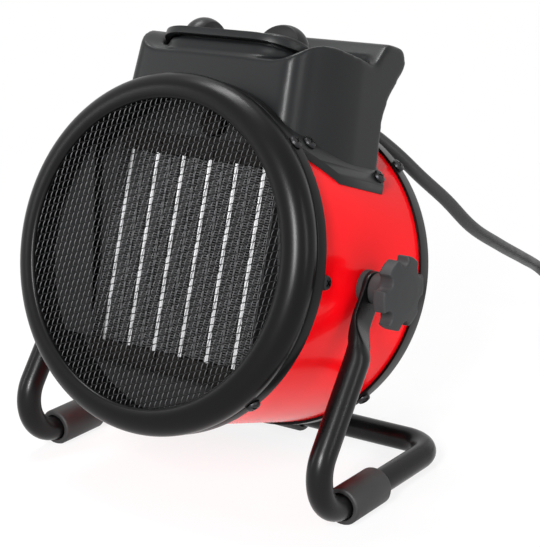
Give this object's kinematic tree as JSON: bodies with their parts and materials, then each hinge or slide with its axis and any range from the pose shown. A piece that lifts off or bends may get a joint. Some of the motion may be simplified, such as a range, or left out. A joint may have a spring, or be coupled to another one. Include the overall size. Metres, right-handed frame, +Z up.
{
  "type": "forced air heater",
  "caption": "Tilting round electric fan heater: red drum with meshed front and ceramic heating pack, on a bent tube stand, with a moulded control and grip housing on top.",
  "frame": {"origin": "middle of the footprint on the floor, measured without the mains cord", "axes": "+X to the heater's left as one faces its front from behind the picture's camera side, that is to the right seen from the front; +Y from the front to the back; +Z up"},
  "size_m": [0.3372, 0.5706, 0.287],
  "materials": {
    "black_plastic": "fine grain, satin",
    "satin_black": "satin black enamel",
    "red_paint": "gloss",
    "black_paint": "satin powder coat",
    "rubber": "matt",
    "dark_wire": "darkened wire",
    "aluminium": "bare, thin fins",
    "steel": "zinc plated",
    "grey_sheet": "matt grey sheet",
    "insulator": "moulded insulating plastic"
  },
  "bodies": {
    "stand": {"stand_tube": "black_paint", "foot_sleeve_left": "rubber", "foot_sleeve_right": "rubber", "rear_foot": "rubber", "cord_lead": "rubber", "cord_coil": "rubber", "cord_tie": "rubber", "plug_body": "rubber", "plug_pin_left": "steel", "plug_pin_right": "steel"},
    "fan": {"fan_impeller": "black_plastic", "motor_rotor": "steel"},
    "thermostat": {"thermostat_knob": "black_plastic", "thermostat_spindle": "steel"},
    "selector": {"selector_knob": "black_plastic", "selector_spindle": "steel"},
    "star_left": {"star_knob_left": "black_plastic"},
    "star_right": {"star_knob_right": "black_plastic"},
    "barrel": {"handle_housing": "black_plastic", "control_panel": "black_plastic", "pivot_spacer_left": "black_plastic", "pivot_spacer_right": "black_plastic", "rear_guard": "black_plastic", "front_ring": "satin_black", "mesh_clamp_ring": "satin_black", "rear_ring": "satin_black", "ring_screw_1": "satin_black", "ring_screw_2": "satin_black", "ring_screw_3": "satin_black", "ring_screw_4": "satin_black", "rear_screw_1": "satin_black", "rear_screw_2": "satin_black", "rear_screw_3": "satin_black", "rear_screw_4": "satin_black", "flange_screw_1": "satin_black", "flange_screw_2": "satin_black", "flange_screw_3": "satin_black", "flange_screw_4": "satin_black", "side_screw_1": "satin_black", "side_screw_2": "satin_black", "barrel_shell": "red_paint", "cable_gland": "rubber", "front_mesh": "dark_wire", "ptc_element_1": "aluminium", "ptc_element_2": "aluminium", "ptc_element_3": "aluminium", "ptc_element_4": "aluminium", "ptc_element_5": "aluminium", "ptc_element_6": "aluminium", "motor_housing": "steel", "motor_bracket": "steel", "pivot_nut_left": "steel", "pivot_nut_right": "steel", "heater_baffle": "grey_sheet", "ptc_end_bar_top": "insulator", "ptc_end_bar_bottom": "insulator", "thermal_cutout": "insulator", "thermostat_body": "insulator", "selector_switch": "insulator", "terminal_block": "insulator"}
  },
  "joints": [
    {"name": "barrel_tilt", "type": "hinge", "parent": "stand", "child": "barrel", "pos_m": [0, 0.00192, 0.136], "axis": [-1, 0, 0], "range_deg": [-27, 43], "deforming": ["cord_lead"]},
    {"name": "fan_spin", "type": "hinge", "parent": "barrel", "child": "fan", "pos_m": [0, 0.01482, 0.13201], "axis": [0, 0.9553, -0.2957], "continuous": true},
    {"name": "thermostat_turn", "type": "hinge", "parent": "barrel", "child": "thermostat", "pos_m": [-0.03, 0.02355, 0.27059], "axis": [0, -0.4879, -0.8729], "range_deg": [0, 270]},
    {"name": "selector_turn", "type": "hinge", "parent": "barrel", "child": "selector", "pos_m": [0.03, 0.02355, 0.27059], "axis": [0, -0.4879, -0.8729], "range_deg": [-90, 45]},
    {"name": "star_turn_left", "type": "hinge", "parent": "barrel", "child": "star_left", "pos_m": [-0.12, 0.00192, 0.136], "axis": [-1, 0, 0], "range_deg": [0, 360]},
    {"name": "star_turn_right", "type": "hinge", "parent": "barrel", "child": "star_right", "pos_m": [0.12, 0.00192, 0.136], "axis": [1, 0, 0], "range_deg": [0, 360]}
  ]
}
